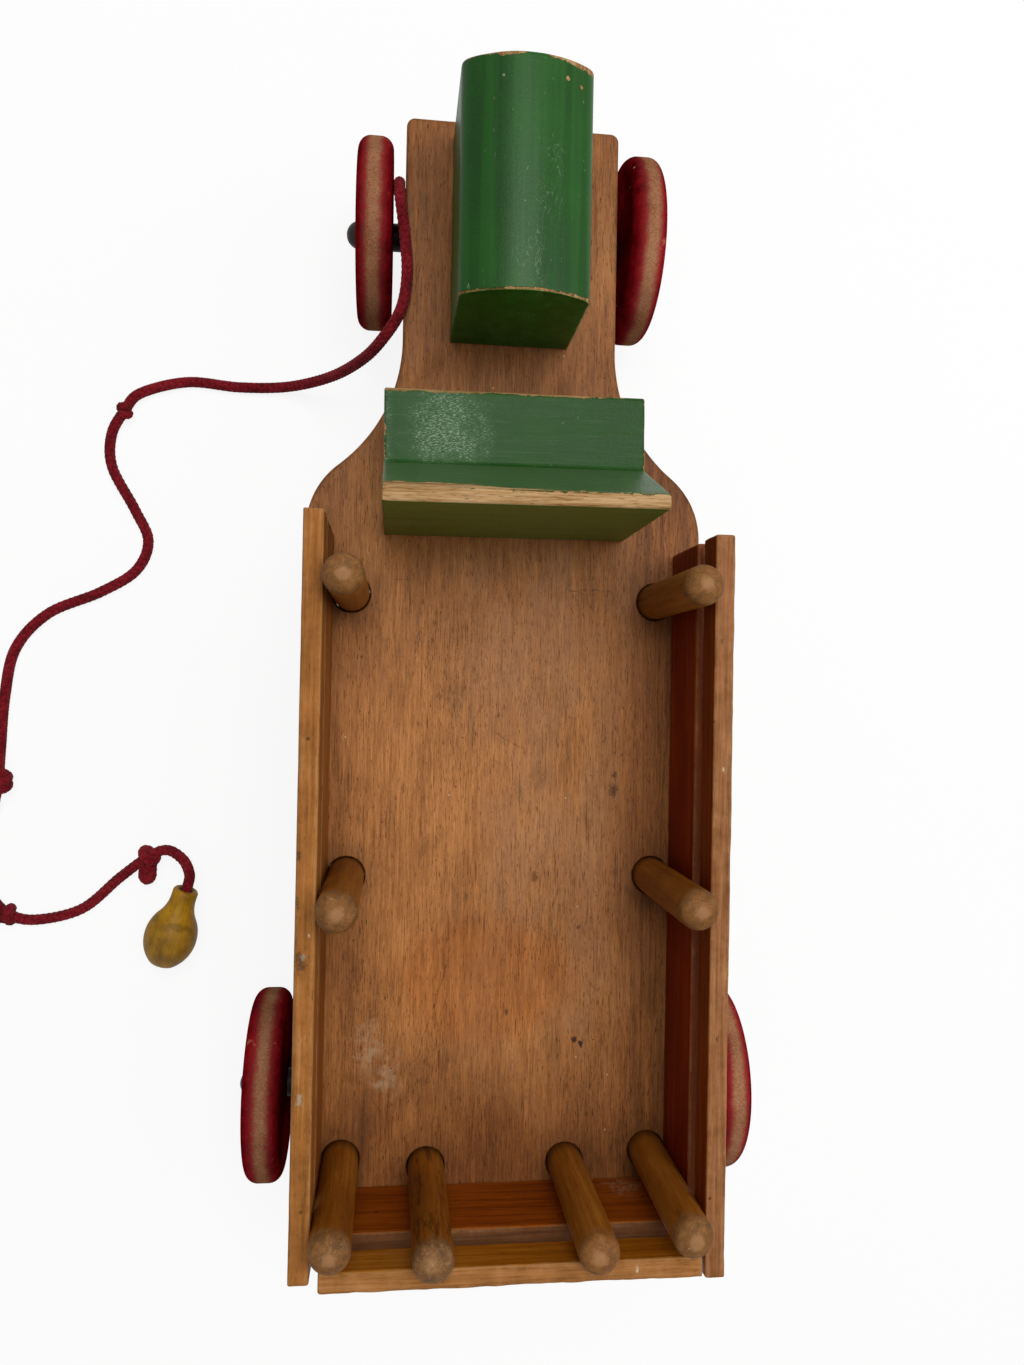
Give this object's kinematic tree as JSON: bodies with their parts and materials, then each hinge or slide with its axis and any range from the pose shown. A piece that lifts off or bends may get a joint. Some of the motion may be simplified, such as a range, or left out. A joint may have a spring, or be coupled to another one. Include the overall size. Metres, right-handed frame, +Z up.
{
  "type": "wooden pull-along toy truck",
  "caption": "Wooden pull-along toy truck with an arched hood, bench seat, lift-out stake racks and tailgate, disc wheels, and a knotted cord with a pear-shaped bead.",
  "frame": {"origin": "on the floor under the middle of the deck", "axes": "+X toward the nose, +Y to the truck's left, +Z up"},
  "size_m": [0.3915, 0.2977, 0.1248],
  "materials": {
    "deck_wood": "worn satin varnish",
    "slat_wood": "worn dark varnish",
    "stake_wood": "worn varnish",
    "block_wood": "bare softwood",
    "green_paint": "chipped gloss green paint",
    "red_paint": "crimson paint worn off the tread",
    "bead_wood": "mustard stain, polished by handling",
    "dark_steel": "darkened steel",
    "cord_cotton": "braided cotton"
  },
  "bodies": {
    "truck": {"deck": "deck_wood", "hood_block": "green_paint", "bench_seat": "green_paint", "front_axle_block": "block_wood", "rear_axle_block": "block_wood", "front_left_axle_screw": "dark_steel", "front_right_axle_screw": "dark_steel", "rear_left_axle_screw": "dark_steel", "rear_right_axle_screw": "dark_steel", "front_left_spacer": "dark_steel", "front_right_spacer": "dark_steel", "rear_left_spacer": "dark_steel", "rear_right_spacer": "dark_steel", "hood_screws": "dark_steel", "seat_screws": "dark_steel", "axle_block_screws": "dark_steel", "screw_eye": "dark_steel", "pull_cord": "cord_cotton", "cord_knots": "cord_cotton", "pull_bead": "bead_wood"},
    "front_left_wheel": {"front_left_wheel": "red_paint"},
    "front_right_wheel": {"front_right_wheel": "red_paint"},
    "rear_left_wheel": {"rear_left_wheel": "red_paint"},
    "rear_right_wheel": {"rear_right_wheel": "red_paint"},
    "left_rack": {"left_lower_slat": "slat_wood", "left_upper_slat": "slat_wood", "left_front_stake": "stake_wood", "left_middle_stake": "stake_wood", "left_rear_stake": "stake_wood", "left_rack_brads": "dark_steel"},
    "right_rack": {"right_lower_slat": "slat_wood", "right_upper_slat": "slat_wood", "right_front_stake": "stake_wood", "right_middle_stake": "stake_wood", "right_rear_stake": "stake_wood", "right_rack_brads": "dark_steel"},
    "tailgate": {"tailgate_lower_slat": "slat_wood", "tailgate_upper_slat": "slat_wood", "tailgate_left_stake": "stake_wood", "tailgate_right_stake": "stake_wood", "tailgate_brads": "dark_steel"}
  },
  "joints": [
    {"name": "front_left_spin", "type": "hinge", "parent": "truck", "child": "front_left_wheel", "pos_m": [0.1625, 0.04955, 0.034], "axis": [0, 1, 0], "continuous": true},
    {"name": "front_right_spin", "type": "hinge", "parent": "truck", "child": "front_right_wheel", "pos_m": [0.1625, -0.04955, 0.034], "axis": [0, 1, 0], "continuous": true},
    {"name": "rear_left_spin", "type": "hinge", "parent": "truck", "child": "rear_left_wheel", "pos_m": [-0.1568, 0.08225, 0.034], "axis": [0, 1, 0], "continuous": true},
    {"name": "rear_right_spin", "type": "hinge", "parent": "truck", "child": "rear_right_wheel", "pos_m": [-0.1568, -0.08625, 0.034], "axis": [0, 1, 0], "continuous": true},
    {"name": "left_rack_lift", "type": "slide", "parent": "truck", "child": "left_rack", "axis": [0, 0, 1], "range_m": [0, 0.04]},
    {"name": "right_rack_lift", "type": "slide", "parent": "truck", "child": "right_rack", "axis": [0, 0, 1], "range_m": [0, 0.04]},
    {"name": "tailgate_lift", "type": "slide", "parent": "truck", "child": "tailgate", "axis": [0, 0, 1], "range_m": [0, 0.04]}
  ]
}
